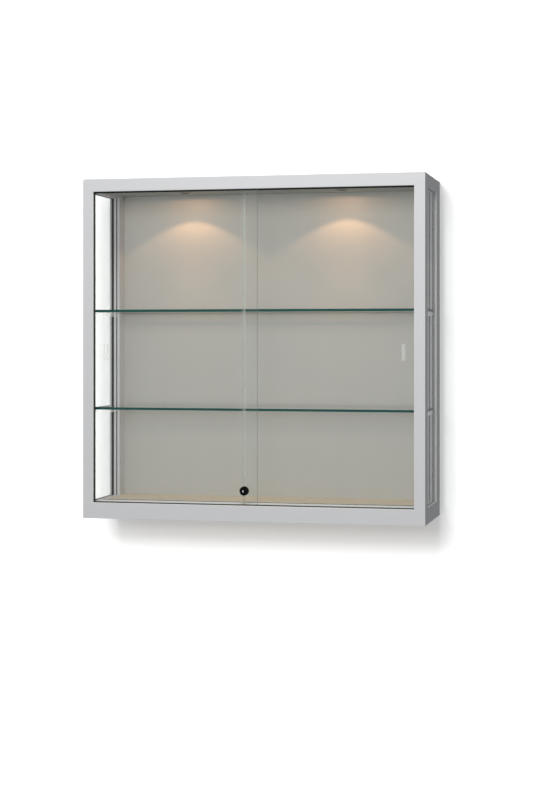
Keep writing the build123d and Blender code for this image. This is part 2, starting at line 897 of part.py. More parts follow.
def lamp(x):
    base = z_ceiling - bezel_thickness
    collar_top = z_ceiling + collar_height
    bezel = upright(lamp_bezel_radius, x, lamp_depth, (base, z_ceiling))
    seat = z_ceiling + lens_seat
    bezel = chamfer(bezel.edges().group_by(Axis.Z)[0], bezel_chamfer)
    bezel += upright(lamp_body_radius, x, lamp_depth, (z_ceiling, collar_top))
    bezel -= upright(lamp_body_radius - wall, x, lamp_depth, (seat, collar_top + 1))
    bezel -= upright(lamp_glass_radius, x, lamp_depth, (base - 1, seat + 1))
    lens = upright(lamp_body_radius - wall - lens_gap, x, lamp_depth, (seat, seat + lens_thickness))

    housing = upright(lamp_body_radius, x, lamp_depth, (collar_top, z_ledge - housing_gap))
    wide = (x - lamp_bezel_radius, x + lamp_bezel_radius)
    for step in range(fin_count):
        depth = lamp_depth + (step - (fin_count - 1) / 2) * fin_pitch
        housing -= block(wide, (depth - fin_slot / 2, depth + fin_slot / 2), (collar_top + fin_root, z_ledge))
    housing += upright(boss_radius, x, lamp_depth, (collar_top - boss_height, collar_top))
    side = -1 if x > 0 else 1
    reach = sorted((x + side * (lamp_body_radius - socket_root), x + side * (lamp_body_radius + socket_reach)))
    socket_depth = (lamp_depth - socket_half, lamp_depth + socket_half)
    housing += block(reach, socket_depth, (collar_top, lead_level + socket_half))
    return bezel, lens, housing


clip_sheet = 0.8
clip_half = 4.0
clip_foot = 11.0
collar_gap = 0.5


def lamp_clips(x):
    clips = []
    sheet_top = z_ceiling + ceiling_sheet
    width = (x - clip_half, x + clip_half)
    for side in (-1, 1):
        near = lamp_depth + side * lamp_body_radius
        up = sorted((near, near + side * clip_sheet))
        out = sorted((near, near + side * clip_foot))
        clip = block(width, up, (sheet_top, z_ceiling + collar_height - collar_gap))
        clips.append(clip + block(width, out, (sheet_top, sheet_top + clip_sheet)))
    return clips


driver_from_middle = 65.0
driver_corner = 3.0
driver_chamfer = 0.8
driver_depth = case_depth / 2 + driver_from_middle
driver_base = z_ceiling + ceiling_sheet
socket_x = lamp_reach - lamp_body_radius - socket_reach


def lead_route():
    # Corner points from the driver's end to the lamp's socket, straight at both ends.
    start = driver_length / 2
    span = socket_x - start
    return [
        (start, driver_depth),
        (start + span * 0.22, driver_depth),
        (start + span * 0.5, driver_depth * 0.6 + lamp_depth * 0.4),
        (start + span * 0.78, lamp_depth),
        (socket_x, lamp_depth),
    ]


def lead():
    # A round lead in straight runs joined by the widest arcs that fit.
    points = [Vector(x, at(depth), lead_level) for x, depth in lead_route()]
    radii = []
    for before, corner, after in zip(points, points[1:], points[2:]):
        run = min((corner - before).length, (after - corner).length)
        turn = (corner - before).get_angle(after - corner)
        radii.append(run * 0.45 / tan(radians(turn / 2)))
    print("lead radii", [round(r) for r in radii])
    path = FilletPolyline(*points, radius=radii)
    print("lead length", round(path.length, 1))
    return sweep(Plane(origin=path @ 0, z_dir=path % 0) * Circle(lead_radius), path=path)


def driver():
    low = driver_base
    depth = (driver_depth - driver_width / 2, driver_depth + driver_width / 2)
    box = block((-driver_length / 2, driver_length / 2), depth, (low, low + driver_height))
    box = fillet(box.edges().filter_by(Axis.Z), driver_corner)
    return chamfer(box.edges().group_by(Axis.Z)[-1], driver_chamfer)


def lighting():
    # Both lamps, their driver and their leads stand either side of one middle.
    middle = Pos(lamp_centre, 0, 0)
    clips = []
    for name, x in (("right", lamp_reach), ("left", -lamp_reach)):
        bezel, lens, housing = lamp(x)
        save(middle * bezel, f"{name}_lamp_bezel")
        save(middle * lens, f"{name}_lamp_lens")
        save(middle * housing, f"{name}_lamp_housing")
        clips += lamp_clips(x)
    save_group([middle * clip for clip in clips], "lamp_clips")
    save(middle * driver(), "lamp_driver")
    right_lead = lead()
    save(middle * right_lead, "right_lamp_lead")
    save(middle * mirror(right_lead, about=Plane.YZ), "left_lamp_lead")


# Supply inlet in the roof
inlet_flange = 3.0
inlet_flange_height = 1.5
inlet_round = 0.9


def supply_grommet():
    low = z_ledge - inlet_flange_height
    high = z_ledge + roof_sheet + inlet_flange_height
    ring = upright(inlet_hole_radius, *inlet_place, (low, high))
    for z in ((low, z_ledge), (z_ledge + roof_sheet, high)):
        ring += upright(inlet_hole_radius + inlet_flange, *inlet_place, z)
    ring = fillet(ring.edges().group_by(Axis.Z)[-1], inlet_round)
    save(ring - upright(inlet_radius, *inlet_place, (low - 1, high + 1)), "supply_grommet")


# The bar that is screwed to the wall, whose upper leg stands in the slot of the top rear rail
bar_gap = 1.0
bar_drop = 8.0
plate_drop = 48.0


def wall_bar():
    leg_front = hook_slot[0] + bar_gap
    plate_low = z_rail - plate_drop
    web = (z_rail - bar_drop, z_rail - bar_drop + bar_thickness)
    x = (-bar_length / 2, bar_length / 2)
    bar = block(x, (leg_front, leg_front + bar_thickness), (web[0], hook_slot_top))
    bar += block(x, (leg_front, case_depth), web)
    bar += block(x, (case_depth - bar_thickness, case_depth), (plate_low, web[1]))
    level = (plate_low + web[0]) / 2
    for spacing in (bar_outer_spacing, bar_inner_spacing):
        for hole in both_sides(along_depth(bar_hole_radius, spacing / 2, (lip_start, case_depth + 1), level)):
            bar -= hole
    print("wall bar holes at z", level)
    save(bar, "wall_bar")


if __name__ == "__main__":
    os.makedirs("parts", exist_ok=True)
    top_ring()
    bottom_ring()
    posts()
    cleats_and_frame_screws()
    roof_panel()
    ceiling_panel()
    floor_and_back()
    sheet_screws()
    side_glass()
    door_tracks()
    door_bumpers()
    doors()
    lock()
    shelves()
    lighting()
    supply_grommet()
    wall_bar()
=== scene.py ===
import math

import bmesh
import bpy
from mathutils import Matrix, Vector


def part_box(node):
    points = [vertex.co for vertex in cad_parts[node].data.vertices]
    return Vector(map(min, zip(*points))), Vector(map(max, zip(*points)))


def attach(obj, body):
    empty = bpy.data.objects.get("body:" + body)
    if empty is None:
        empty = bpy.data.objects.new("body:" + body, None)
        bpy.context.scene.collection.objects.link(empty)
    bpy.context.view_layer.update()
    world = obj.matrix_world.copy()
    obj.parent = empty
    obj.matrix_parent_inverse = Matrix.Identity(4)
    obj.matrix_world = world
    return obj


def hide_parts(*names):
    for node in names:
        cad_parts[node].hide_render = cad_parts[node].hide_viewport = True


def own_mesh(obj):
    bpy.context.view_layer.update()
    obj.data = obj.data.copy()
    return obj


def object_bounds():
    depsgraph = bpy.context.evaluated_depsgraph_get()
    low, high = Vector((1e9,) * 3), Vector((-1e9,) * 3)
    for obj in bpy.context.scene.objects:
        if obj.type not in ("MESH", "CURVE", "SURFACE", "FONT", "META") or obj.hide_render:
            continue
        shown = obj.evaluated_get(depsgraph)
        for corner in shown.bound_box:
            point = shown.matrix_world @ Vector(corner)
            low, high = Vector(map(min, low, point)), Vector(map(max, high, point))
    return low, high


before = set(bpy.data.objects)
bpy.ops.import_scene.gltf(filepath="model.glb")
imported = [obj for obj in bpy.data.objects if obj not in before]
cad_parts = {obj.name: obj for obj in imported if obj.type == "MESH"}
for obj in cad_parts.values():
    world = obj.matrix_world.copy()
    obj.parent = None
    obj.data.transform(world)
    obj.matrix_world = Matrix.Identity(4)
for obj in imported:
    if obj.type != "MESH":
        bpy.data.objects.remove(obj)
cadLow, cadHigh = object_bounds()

scene = bpy.context.scene


class Wire:
    # one output of a node, so that values can be written as sums and products
    def __init__(self, sheet, socket):
        self.sheet = sheet
        self.socket = socket

    def calc(self, operation, first, second=0.0):
        return self.sheet.node("Math", {"operation": operation}, sockets={0: first, 1: second})

    def __add__(self, other):
        return self.calc("ADD", self, other)

    def __sub__(self, other):
        return self.calc("SUBTRACT", self, other)

    def __rsub__(self, other):
        return self.calc("SUBTRACT", other, self)

    def __mul__(self, other):
        return self.calc("MULTIPLY", self, other)

    def __pow__(self, other):
        return self.calc("POWER", self, other)

    def __abs__(self):
        return self.calc("ABSOLUTE", self)

    def atLeast(self, other):
        return self.calc("MAXIMUM", self, other)

    def atMost(self, other):
        return self.calc("MINIMUM", self, other)

    def over(self, other):
        return self.calc("GREATER_THAN", self, other)

    def under(self, other):
        return self.calc("LESS_THAN", self, other)

    __radd__ = __add__
    __rmul__ = __mul__


class Sheet:
    # the nodes of one material, or of the studio around the case
    def __init__(self, owner):
        owner.use_nodes = True
        self.owner = owner
        self.tree = owner.node_tree
        self.tree.nodes.clear()

    def join(self, value, socket):
        if isinstance(value, Wire):
            self.tree.links.new(value.socket, socket)
            return
        if hasattr(socket.default_value, "__len__"):
            if not hasattr(value, "__len__"):
                value = [value] * len(socket.default_value)
            elif len(value) < len(socket.default_value):
                value = (*value, 1.0)  # a colour with no alpha
        socket.default_value = value

    def node(self, kind, settings=None, output=0, sockets=None, **values):
        # any node: its settings first, then its sockets, by their place in the list or by name
        made = self.tree.nodes.new("ShaderNode" + kind)
        for key, value in (settings or {}).items():
            setattr(made, key, value)
        named = {key.replace("_", " "): value for key, value in values.items()}
        for key, value in {**(sockets or {}), **named}.items():
            self.join(value, made.inputs[key])
        if made.outputs:
            return Wire(self, made.outputs[output])

    def place(self, stretch=(1, 1, 1)):
        coordinates = self.node("TexCoord", output="Object")
        return self.node("Mapping", Vector=coordinates, Scale=stretch)

    def noise(self, size, detail=2.0, stretch=(1, 1, 1)):
        # size is in metres
        return self.node("TexNoise", output="Fac", Vector=self.place(stretch), Scale=1.0 / size,
                         Detail=detail, Roughness=0.5)

    def blend(self, factor, first, second):
        return self.node("Mix", {"data_type": "RGBA"}, output=2, sockets={0: factor, 6: first, 7: second})

    def bump(self, height, distance):
        return self.node("Bump", Height=height, Distance=distance, Strength=1.0)

    def normalAlong(self, axis):
        normal = self.node("NewGeometry", output="Normal")
        return abs(self.node("SeparateXYZ", output=axis, Vector=normal))

    def mixed(self, factor, first, second):
        return self.node("MixShader", sockets={0: factor, 1: first, 2: second})

    def finish(self, surface, kind="OutputMaterial"):
        self.node(kind, Surface=surface)
        return self.owner


def newSheet(name):
    return Sheet(bpy.data.materials.new(name))


def darker(colour, tone):
    return [part * tone for part in colour]


# the edge colour is a painted highlight, laid on the small slopes along the profile's edges
anodised = {
    "colour": (0.69, 0.695, 0.705), "dark": (0.63, 0.635, 0.645), "edge": (0.93, 0.935, 0.94),
    "metal": 0.4, "roughness": 0.45, "roughnessSwing": 0.12,
    "grain": 0.0009, "stretch": 0.012, "depth": 0.000012, "cloud": 0.12, "grainShare": 0.7,
    "highlightSlope": (0.3, 0.95),
}


def satinAluminium(name, along):
    sheet = newSheet(name)
    stretch = [1.0, 1.0, 1.0]
    stretch["XYZ".index(along)] = anodised["stretch"]
    grain = sheet.noise(anodised["grain"], stretch=stretch)
    cloud = sheet.noise(anodised["cloud"])
    share = anodised["grainShare"]
    colour = sheet.blend(grain * share + cloud * (1 - share), anodised["dark"], anodised["colour"])
    slant = sheet.normalAlong("Y")
    least, most = anodised["highlightSlope"]
    paintedEdgeHighlight = slant.over(least) * (1.0 - slant.over(most))  # painted highlight on the small slopes along the profile's edges
    colour = sheet.blend(paintedEdgeHighlight, colour, anodised["edge"])
    shader = sheet.node("BsdfPrincipled", Base_Color=colour, Metallic=anodised["metal"],
                        Roughness=anodised["roughness"] + (grain - 0.5) * anodised["roughnessSwing"],
                        Normal=sheet.bump(grain, anodised["depth"]))
    return sheet.finish(shader)


powder = {
    "colour": (0.33, 0.345, 0.325), "patch": 0.2, "patchTone": 0.97,
    "roughness": 0.6, "roughnessSwing": 0.05, "peel": 0.0022, "depth": 0.00006,
}


def powderCoat(name):
    sheet = newSheet(name)
    peel = sheet.noise(powder["peel"], 1.0)
    patch = sheet.noise(powder["patch"])
    colour = sheet.blend(patch, darker(powder["colour"], powder["patchTone"]), powder["colour"])
    shader = sheet.node("BsdfPrincipled", Base_Color=colour,
                        Roughness=powder["roughness"] + peel * powder["roughnessSwing"],
                        Normal=sheet.bump(peel, powder["depth"]))
    return sheet.finish(shader)


# floorPaintedWarmLight makes the floor a lighter, warmer copy of the back board: painted warm lamp light
board = {
    "face": (0.62, 0.625, 0.592), "fleck": (0.58, 0.585, 0.552), "floorPaintedWarmLight": (1.46, 1.32, 1.12),
    "pearl": 0.0014, "depth": 0.00004, "band": 0.05, "bandStretch": (1.0, 0.2, 0.02), "bandShare": 0.5,
    "core": (0.33, 0.24, 0.15), "chip": 0.0025, "chipTone": 0.7, "roughness": 0.5, "coreRoughness": 0.3,
}


def laminate(name, thinAxis, paintedLight=(1.0, 1.0, 1.0)):
    sheet = newSheet(name)
    pearl = sheet.noise(board["pearl"])
    band = sheet.noise(board["band"], stretch=board["bandStretch"])  # long soft bands from the press
    # the face colours times the painted light
    fleck, light = ([part * gain for part, gain in zip(board[key], paintedLight)] for key in ("fleck", "face"))
    share = board["bandShare"]
    face = sheet.blend(pearl * (1 - share) + band * share, fleck, light)
    chips = sheet.noise(board["chip"], 3.0)
    core = sheet.blend(chips, darker(board["core"], board["chipTone"]), board["core"])
    cut = sheet.normalAlong(thinAxis).under(0.5)
    shader = sheet.node("BsdfPrincipled", Base_Color=sheet.blend(cut, face, core),
                        Roughness=board["roughness"] + cut * board["coreRoughness"],
                        Normal=sheet.bump(pearl, board["depth"]))
    return sheet.finish(shader)


glass = {
    "tint": (0.988, 0.993, 0.99), "mirror": 0.04, "mirrorGain": 1.1, "mirrorRoughness": 0.015,
    "falloff": 5.0, "streak": 0.02, "edgeRoughness": 0.4, "edgeShine": 0.01,
}
edgeTints = {
    "side": ((0.03, 0.09, 0.075), (0.1, 0.2, 0.17)),
    "door": ((0.3, 0.35, 0.33), (0.36, 0.41, 0.39)),
    "shelf": ((0.0, 0.045, 0.038), (0.001, 0.07, 0.06)),
}


def floatGlass(name, thinAxis, edges):
    # clear across the sheet, and tinted where it is seen through an edge
    sheet = newSheet(name)
    facing = sheet.node("LayerWeight", output="Facing", Blend=0.5)
    mirror = glass["mirror"] + (1.0 - glass["mirror"]) * facing ** glass["falloff"]
    outside = 1.0 - sheet.node("NewGeometry", output="Backfacing")
    through = sheet.node("BsdfTransparent", Color=glass["tint"])
    gloss = sheet.node("BsdfGlossy", Color=(1, 1, 1), Roughness=glass["mirrorRoughness"])
    clear = sheet.mixed((mirror * glass["mirrorGain"]).atMost(1.0) * outside, through, gloss)
    colour = sheet.blend(sheet.noise(glass["streak"], 3.0), *edgeTints[edges])
    rim = sheet.node("BsdfPrincipled", Base_Color=colour, Roughness=glass["edgeRoughness"],
                     Specular_IOR_Level=glass["edgeShine"])
    edgeMask = 1.0 - sheet.normalAlong(thinAxis).over(0.5)
    return sheet.finish(sheet.mixed(edgeMask, clear, rim))


fineSkin = {"patch": 14, "roughnessSwing": 0.12}


def plain(name, colour, roughness, metal=0.0, grain=0.0015, depth=0.00002, vary=0.08, **more):
    # a moulded, cast or plated finish with a fine skin
    sheet = newSheet(name)
    skin = sheet.noise(grain)
    patch = sheet.noise(grain * fineSkin["patch"])
    shade = sheet.blend(skin * 0.5 + patch * 0.5, darker(colour, 1 - vary), colour)
    shader = sheet.node("BsdfPrincipled", Base_Color=shade, Metallic=metal,
                        Roughness=roughness + (patch - 0.5) * fineSkin["roughnessSwing"],
                        Normal=sheet.bump(skin, depth), **more)
    return sheet.finish(shader)


glazing = {
    "inner": (0.012, 0.012, 0.012), "outer": (0.7, 0.71, 0.71),
    "wear": 0.3, "roughness": 0.6, "grain": 0.0008, "depth": 0.00002,
}


def glazingTape(name):
    # black rubber inside the glass, grey foam tape outside it
    sheet = newSheet(name)
    glassLow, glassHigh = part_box("right_side_glass")
    change = (glassLow[0] + glassHigh[0]) / 2
    skin = sheet.noise(glazing["grain"])
    away = abs(sheet.node("SeparateXYZ", output="X", Vector=sheet.node("TexCoord", output="Object")))
    tone = sheet.blend(away.over(change), glazing["inner"], glazing["outer"])
    shade = sheet.blend(skin * glazing["wear"], tone, (0.0, 0.0, 0.0))
    shader = sheet.node("BsdfPrincipled", Base_Color=shade, Roughness=glazing["roughness"],
                        Normal=sheet.bump(skin, glazing["depth"]))
    return sheet.finish(shader)


doorSeal = {
    "colour": (0.72, 0.74, 0.71), "through": (0.97, 0.98, 0.97), "roughness": 0.25, "coat": 0.5,
    "haze": 0.004, "milk": 0.1, "milkSwing": 0.02,
}


def clearPlastic(name):
    # see-through, with a milky skin that catches light
    sheet = newSheet(name)
    milk = doorSeal["milk"] + sheet.noise(doorSeal["haze"]) * doorSeal["milkSwing"]
    body = sheet.node("BsdfPrincipled", Base_Color=doorSeal["colour"], Roughness=doorSeal["roughness"],
                      Coat_Weight=doorSeal["coat"])
    through = sheet.node("BsdfTransparent", Color=doorSeal["through"])
    return sheet.finish(sheet.mixed(milk, through, body))


support = {
    "colour": (0.86, 0.87, 0.86), "through": (0.97, 0.98, 0.975), "roughness": 0.25,
    "milk": 0.02, "grain": 0.0012, "milkSwing": 0.03, "rim": 1.2, "falloff": 6.0,
    # light and glow make the milky part glow: painted light
    "light": (1, 1, 0.98), "glow": 0.35,
}


def supportPlastic(name):
    # water-clear moulded plastic, with a painted sheen where it is seen along its skin and a painted glow in
    # its milky part
    sheet = newSheet(name)
    facing = sheet.node("LayerWeight", output="Facing", Blend=0.5)
    # rim is a painted sheen, strongest where the skin is seen edge-on
    rim = facing ** support["falloff"] * support["rim"]
    milk = support["milk"] + rim + sheet.noise(support["grain"]) * support["milkSwing"]
    body = sheet.node("BsdfPrincipled", Base_Color=support["colour"], Roughness=support["roughness"],
                      Emission_Color=support["light"], Emission_Strength=support["glow"])
    through = sheet.node("BsdfTransparent", Color=support["through"])
    return sheet.finish(sheet.mixed(milk.atMost(1.0), through, body))


lampGlow = {
    "light": (1.0, 0.72, 0.42), "strength": 5.0, "colour": (0.9, 0.85, 0.75),
    "roughness": 0.3, "roughnessSwing": 0.1, "dots": 160.0, "skinShare": 0.25,
}


def lampLens(name):
    # a lit lens with a dimpled skin
    sheet = newSheet(name)
    dots = sheet.node("TexVoronoi", output="Distance", Vector=sheet.place(), Scale=lampGlow["dots"])
    glow = sheet.node("Emission", Color=lampGlow["light"], Strength=lampGlow["strength"])
    skin = sheet.node("BsdfPrincipled", Base_Color=lampGlow["colour"],
                      Roughness=lampGlow["roughness"] + dots * lampGlow["roughnessSwing"])
    return sheet.finish(sheet.mixed(lampGlow["skinShare"], glow, skin))


ground = {
    "colour": (0.86, 0.88, 0.87), "through": (0.98, 0.985, 0.98), "roughness": 0.7, "shine": 0.2,
    "rub": 0.004, "depth": 0.00001, "milk": 0.085, "milkSwing": 0.015,
}


def groundGlass(name):
    # the rubbed surface of a finger pull
    sheet = newSheet(name)
    rub = sheet.noise(ground["rub"])
    body = sheet.node("BsdfPrincipled", Base_Color=ground["colour"], Roughness=ground["roughness"],
                      Specular_IOR_Level=ground["shine"], Normal=sheet.bump(rub, ground["depth"]))
    through = sheet.node("BsdfTransparent", Color=ground["through"])
    return sheet.finish(sheet.mixed(ground["milk"] + rub * ground["milkSwing"], through, body))


materials = {
    "alongX": satinAluminium("satinAlongX", "X"),
    "alongY": satinAluminium("satinAlongY", "Y"),
    "alongZ": satinAluminium("satinAlongZ", "Z"),
    "powder": powderCoat("powderCoat"),
    "back": laminate("backLaminate", "Y"),
    "floor": laminate("floorLaminate", "Z", board["floorPaintedWarmLight"]),
    "paneX": floatGlass("sideGlass", "X", "side"),
    "paneY": floatGlass("doorGlass", "Y", "door"),
    "paneZ": floatGlass("shelfGlass", "Z", "shelf"),
    "rubber": plain("blackRubber", (0.018, 0.018, 0.017), 0.6, grain=0.0008, vary=0.3),
    "seal": clearPlastic("clearSeal"),
    "support": supportPlastic("supportPlastic"),
    "grey": plain("greyNylon", (0.12, 0.125, 0.13), 0.5),
    "white": plain("whiteCase", (0.72, 0.72, 0.7), 0.45),
    "black": plain("blackLacquer", (0.005, 0.005, 0.005), 0.55, grain=0.0005, Specular_IOR_Level=0.12),
    "nickel": plain("brightNickel", (0.78, 0.77, 0.74), 0.3, metal=1.0, grain=0.0004),
    # near-white and barely metal: a painted glint
    "shutter": plain("polishedShutter", (0.86, 0.86, 0.84), 0.3, metal=0.15, grain=0.0003),
    "sill": plain("sillCoat", (0.74, 0.79, 0.82), 0.5, metal=0.1, grain=0.0006),
    "tape": glazingTape("glazingRubber"),
    # black flock on the lamp baffles, and painted shade on the lip, ceiling, sill and slot strips
    "flockAndShade": plain("blackFlock", (0.022, 0.036, 0.032), 0.9, grain=0.0006, vary=0.3, Specular_IOR_Level=0.1),
    "steel": plain("zincedSteel", (0.55, 0.55, 0.54), 0.35, metal=1.0, grain=0.0006),
    "cast": plain("castZinc", (0.4, 0.4, 0.4), 0.55, metal=0.8, grain=0.001, depth=0.00008),
    "lampMetal": plain("turnedAluminium", (0.33, 0.34, 0.32), 0.55, metal=0.15, grain=0.0006),
    "lens": lampLens("litLens"),
    "sheath": plain("leadSheath", (0.7, 0.7, 0.68), 0.5),
    "ground": groundGlass("groundGlass"),
}

finishes = {
    "alongX": ["top_front_rail", "top_rear_rail", "bottom_front_rail", "bottom_rear_rail",
               "upper_door_track", "lower_door_track", "wall_bar"],
    "alongY": ["top_left_rail", "top_right_rail", "bottom_left_rail", "bottom_right_rail"],
    "alongZ": ["front_left_post", "front_right_post", "rear_left_post", "rear_right_post"],
    "powder": ["roof_panel", "ceiling_panel"],
    "back": ["back_panel"],
    "floor": ["floor_panel"],
    "paneX": ["left_side_glass", "right_side_glass"],
    "paneY": ["outer_door_glass", "inner_door_glass"],
    "paneZ": ["upper_shelf_glass", "lower_shelf_glass"],
    "rubber": ["door_bumpers", "supply_grommet"],
    "tape": ["left_glazing_gasket", "right_glazing_gasket"],
    "seal": ["door_seal_strip"],
    "support": ["upper_shelf_brackets", "lower_shelf_brackets", "upper_shelf_clips", "lower_shelf_clips"],
    "grey": ["outer_door_glides", "inner_door_glides"],
    "white": ["lamp_driver"],
    "black": ["lock_body", "lock_plunger", "lock_washer", "lock_core"],
    "nickel": ["lock_nut"],
    "steel": ["frame_screws", "roof_screws", "ceiling_screws", "lamp_clips", "lock_spring"],
    "cast": ["top_corner_cleats", "bottom_corner_cleats"],
    "lampMetal": ["left_lamp_bezel", "right_lamp_bezel", "left_lamp_housing", "right_lamp_housing"],
    "lens": ["left_lamp_lens", "right_lamp_lens"],
    "sheath": ["left_lamp_lead", "right_lamp_lead"],
}


def dressFrame():
    for key, nodes in finishes.items():
        for node in nodes:
            thing = bpy.data.objects[node]
            thing.data.materials.clear()
            thing.data.materials.append(materials[key])


dressFrame()
print("frame dressed")


def newPiece(name, mesh, body, key):
    thing = bpy.data.objects.new(name, mesh)
    mesh.materials.append(materials[key])
    scene.collection.objects.link(thing)
    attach(thing, body)
    return thing


softening = {"segments": 2, "profile": 0.6}


def addBar(work, low, high, soft):
    # one bar between two corners, with softened edges
    made = bmesh.ops.create_cube(work, size=1.0)["verts"]
    middle = (Vector(low) + Vector(high)) / 2
    size = Vector(high) - Vector(low)
    for vert in made:
        vert.co = middle + Vector(vert.co[axis] * size[axis] for axis in range(3))
    if soft:
        edges = list({edge for vert in made for edge in vert.link_edges})
        bmesh.ops.bevel(work, geom=edges, offset=soft, affect="EDGES", **softening)


def toMesh(work, name):
    mesh = bpy.data.meshes.new(name)
    work.to_mesh(mesh)
    work.free()
    return mesh


def bars(name, boxes, body, key, soft=0.0):
    # a piece made of straight bars
    work = bmesh.new()
    for low, high in boxes:
        addBar(work, low, high, soft)
    newPiece(name, toMesh(work, name), body, key)


def fromRings(name, rings, closed=False, smooth=False, smoothEnds=False):
    # a skin over rings of points, which either closes into a loop or has a face on each end
    work = bmesh.new()
    rings = [[work.verts.new(point) for point in ring] for ring in rings]
    ends = []
    if closed:
        rings.append(rings[0])
    else:
        ends = [work.faces.new(rings[0]), work.faces.new(rings[-1])]
    for first, second in zip(rings, rings[1:]):
        for place in range(len(first)):
            after = (place + 1) % len(first)
            work.faces.new((first[place], second[place], second[after], first[after]))
    for face in work.faces:
        face.smooth = smoothEnds if face in ends else smooth
    bmesh.ops.recalc_face_normals(work, faces=work.faces)
    return toMesh(work, name)


def turned(step, steps):
    # the cosine and sine of a step round a circle
    turn = math.tau * step / steps
    return math.cos(turn), math.sin(turn)


lip = {"thick": 0.0008, "inset": 0.009, "gap": 0.0002, "soft": 0.0002}


def makeLipShade():
    # a black strip all round the inside of the front opening: painted shade inside the lip
    postLow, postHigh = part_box("front_right_post")
    inside = postLow[0]
    front = postLow[1] + lip["inset"]
    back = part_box("upper_door_track")[0][1] - lip["gap"]
    low, high = postLow[2] + lip["gap"], postHigh[2]
    thick = lip["thick"]
    boxes = []
    for left, right in ((-inside, thick - inside), (inside - thick, inside)):
        boxes.append(((left, front, low), (right, back, high - lip["gap"])))
    reach = inside - thick - lip["gap"]
    for bottom, top in ((high - thick, high), (low, low + thick)):
        boxes.append(((-reach, front, bottom), (reach, back, top)))
    bars("lip_liner", boxes, "case", "flockAndShade", lip["soft"])


shade = {"gap": 0.0003, "thick": 0.0012, "drop": 0.0036, "soft": 0.0003}


def makeGlareShadeStrip():
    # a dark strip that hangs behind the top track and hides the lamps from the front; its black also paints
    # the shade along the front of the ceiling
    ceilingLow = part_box("ceiling_panel")[0]
    trackLow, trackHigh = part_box("upper_door_track")
    front = ceilingLow[1] + shade["gap"]
    back = front + shade["thick"]
    reach = trackHigh[0] - shade["gap"]
    strip = ((-reach, front, trackLow[2] - shade["drop"]), (reach, back, ceilingLow[2] - shade["gap"]))
    bars("glare_strip", [strip], "case", "flockAndShade", shade["soft"])


sill = {
    "gap": 0.0005, "deep": 0.042, "high": 0.0012, "soft": 0.0003, "lift": 0.00005,
    "seal": 0.005, "sealHigh": 0.002, "sealGap": 0.0001,
}


def makeSill():
    # a flat metal strip on the front of the floor, with a black strip along its back that paints the shadow
    # line there
    floorLow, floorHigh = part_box("floor_panel")
    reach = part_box("front_right_post")[0][0] - sill["gap"]
    front = floorLow[1] + sill["gap"]
    back = front + sill["deep"]
    top = floorHigh[2] + sill["lift"]
    strip = ((-reach, front, top), (reach, back, top + sill["high"]))
    bars("front_sill", [strip], "case", "sill", sill["soft"])
    seal = ((-reach, back + sill["sealGap"], top), (reach, back + sill["seal"], top + sill["sealHigh"]))
    bars("sill_seal", [seal], "case", "flockAndShade", sill["soft"])


slotShade = {
    "inset": 0.0075, "width": 0.0035, "gap": 0.0002, "thick": 0.0008, "depth": 0.008, "lift": 0.00005,
}


def makeSlotShades():
    # dark strips at the bottom of the slots that the shelf brackets hook into: painted shade in the slots
    postLow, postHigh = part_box("rear_right_post")
    near = postLow[0] + slotShade["inset"] + slotShade["gap"]
    far = near + slotShade["width"] - 2 * slotShade["gap"]
    back = postLow[1] + slotShade["depth"]
    boxes = []
    for side in (-1, 1):
        left, right = sorted((side * near, side * far))
        front = back - slotShade["thick"]
        boxes.append(((left, front, postLow[2]), (right, back - slotShade["lift"], postHigh[2])))
    bars("slot_liners", boxes, "case", "flockAndShade")


pull = {
    "width": 0.0114, "height": 0.0474, "level": 0.483, "recess": 0.001, "lift": 0.00005, "base": 0.0003,
    "ribs": 8, "ribStart": 0.2, "ribShare": 0.6, "proud": 0.0004, "soft": 0.0001,
    "outerInset": 0.044, "innerInset": 0.048,
}


def makePull(name, x, front, body):
    # a ground patch of upright ribs at the bottom of the recess in a door
    floor = front + pull["recess"] - pull["lift"]
    skin = floor - pull["base"]
    left = x - pull["width"] / 2
    low = pull["level"] - pull["height"] / 2
    high = pull["level"] + pull["height"] / 2
    boxes = [((left, skin, low), (left + pull["width"], floor, high))]
    pitch = pull["width"] / pull["ribs"]
    for step in range(pull["ribs"]):
        start = left + pitch * (step + pull["ribStart"])
        boxes.append(((start, skin - pull["proud"], low), (start + pitch * pull["ribShare"], skin, high)))
    bars(name, boxes, body, "ground", pull["soft"])


def makePulls():
    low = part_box("outer_door_glass")[0]
    makePull("outer_door_pull", low[0] + pull["outerInset"], low[1], "outer_door")
    low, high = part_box("inner_door_glass")
    makePull("inner_door_pull", high[0] - pull["innerInset"], low[1], "inner_door")


shutter = {"width": 0.0032, "height": 0.0062, "proud": 0.0009, "around": 24, "rings": 4, "closing": 0.97}


def makeShutter():
    # the domed shutter over the keyway, near-white so that it paints the lock's bright glint
    low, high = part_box("lock_core")
    middle = Vector(((low[0] + high[0]) / 2, low[1], (low[2] + high[2]) / 2))
    rings = []
    for ring in range(shutter["rings"] + 1):
        lean = math.pi / 2 * ring / shutter["rings"]
        share = math.cos(lean * shutter["closing"]) / 2
        wide, tall = shutter["width"] * share, shutter["height"] * share
        front = -shutter["proud"] * math.sin(lean)
        circle = [turned(step, shutter["around"]) for step in range(shutter["around"])]
        rings.append([middle + Vector((across * wide, front, up * tall)) for across, up in circle])
    mesh = fromRings("key_shutter", rings, smooth=True, smoothEnds=True)
    newPiece("key_shutter", mesh, "lock_core", "shutter")


baffle = {
    "outer": 0.0168, "inner": 0.0148, "low": 0.0004, "high": 0.0042, "wall": 0.0001, "steps": 5, "around": 64,
}


